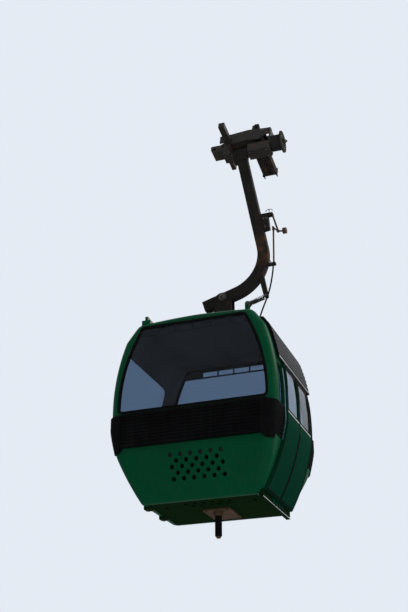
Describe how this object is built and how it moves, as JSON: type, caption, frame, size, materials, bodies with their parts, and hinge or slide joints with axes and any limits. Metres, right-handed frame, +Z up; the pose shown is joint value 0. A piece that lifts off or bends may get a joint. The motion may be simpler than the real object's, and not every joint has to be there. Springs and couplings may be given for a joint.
{
  "type": "cable car cabin",
  "caption": "Enclosed cable car cabin with sliding side doors, ribbed bumpers, a curved side hanger and a spring rope grip.",
  "frame": {"origin": "centre of the haul rope between the grip's jaws, from which the whole cabin hangs", "axes": "+Z up, +Y along the line of travel (the rope falls 14 degrees towards +Y), +X towards the door side"},
  "size_m": [1.881, 1.618, 5.1232],
  "materials": {
    "green_paint": "painted panels, washed and a little dusty",
    "dark_paint": "dark grey paint, rubbed to rust at the welds",
    "underside_paint": "dull road-grime green",
    "floor_metal": "bare aluminium, weathered",
    "bumper_plastic": "black ribbed plastic",
    "header_plastic": "black ribbed plastic",
    "seal_rubber": "black rubber",
    "tinted_glass": "grey-blue tint",
    "rail_metal": "bare aluminium",
    "seat_plastic": "grey seat shells",
    "grip_steel": "cast and forged steel, greasy",
    "bright_steel": "worn bright by use",
    "roller_plastic": "black roller tread",
    "spring_steel": "springs and tie rods",
    "guide_steel": "rusty steel guides"
  },
  "bodies": {
    "grip": {"grip_body": "grip_steel", "hanger_axle": "bright_steel", "spring_carrier": "grip_steel", "spring_pack": "spring_steel", "rope_guides": "guide_steel", "roller_bracket": "grip_steel"},
    "jaw_lever": {"grip_lever": "grip_steel"},
    "control_roller": {"lever_roller": "roller_plastic"},
    "running_roller": {"support_roller": "roller_plastic"},
    "cabin": {"benches": "seat_plastic", "bumpers": "bumper_plastic", "cable_gland": "seal_rubber", "damper": "spring_steel", "door_cable": "seal_rubber", "door_header": "header_plastic", "door_lever": "bright_steel", "door_lever_roller": "roller_plastic", "door_rail_bottom": "floor_metal", "door_rail_top": "rail_metal", "door_rod": "bright_steel", "end_frame_front": "green_paint", "end_frame_rear": "green_paint", "end_windows": "tinted_glass", "floor_brackets": "underside_paint", "floor_pan": "underside_paint", "guide_bracket": "guide_steel", "hanger_arm": "dark_paint", "hanger_brackets": "dark_paint", "hanger_head": "dark_paint", "lower_panels": "green_paint", "roof_bracket": "green_paint", "roof_panel": "green_paint", "side_wall_left": "green_paint", "side_wall_right": "green_paint", "strip_windows": "tinted_glass", "suspension_bracket": "dark_paint", "suspension_pins": "bright_steel", "vent_strips": "rail_metal", "window_left": "tinted_glass", "window_seals": "seal_rubber"},
    "front_door": {"door_front": "green_paint", "door_glass_front": "tinted_glass"},
    "rear_door": {"door_rear": "green_paint", "door_glass_rear": "tinted_glass"},
    "guide_post": {"guide_roller": "underside_paint"}
  },
  "joints": [
    {"name": "hanger_swing", "type": "hinge", "parent": "grip", "child": "cabin", "pos_m": [0.315, 0, -0.08], "axis": [1, 0, 0], "range_deg": [-49, 21]},
    {"name": "grip_open", "type": "hinge", "parent": "grip", "child": "jaw_lever", "pos_m": [0.16, 0.02419, 0.09703], "axis": [0, 0.9703, -0.2419], "range_deg": [0, 9], "stiffness_Nm_per_rad": 400, "springref_deg": -28.65},
    {"name": "control_roller_spin", "type": "hinge", "parent": "jaw_lever", "child": "control_roller", "pos_m": [0.51, 0.07983, 0.3202], "axis": [1, 0, 0], "continuous": true},
    {"name": "running_roller_spin", "type": "hinge", "parent": "grip", "child": "running_roller", "pos_m": [0.795, -0.00532, -0.02135], "axis": [1, 0, 0], "continuous": true},
    {"name": "front_door_slide", "type": "slide", "parent": "cabin", "child": "front_door", "axis": [0, -1, 0], "range_m": [0, 0.3]},
    {"name": "rear_door_slide", "type": "slide", "parent": "cabin", "child": "rear_door", "axis": [0, 1, 0], "range_m": [0, 0.3]},
    {"name": "guide_post_spin", "type": "hinge", "parent": "cabin", "child": "guide_post", "pos_m": [0, 0, -4.65], "axis": [0, 0, 1], "continuous": true}
  ],
  "couplings": [
    {"joint": "rear_door_slide", "follows": "front_door_slide", "ratio": 1}
  ]
}
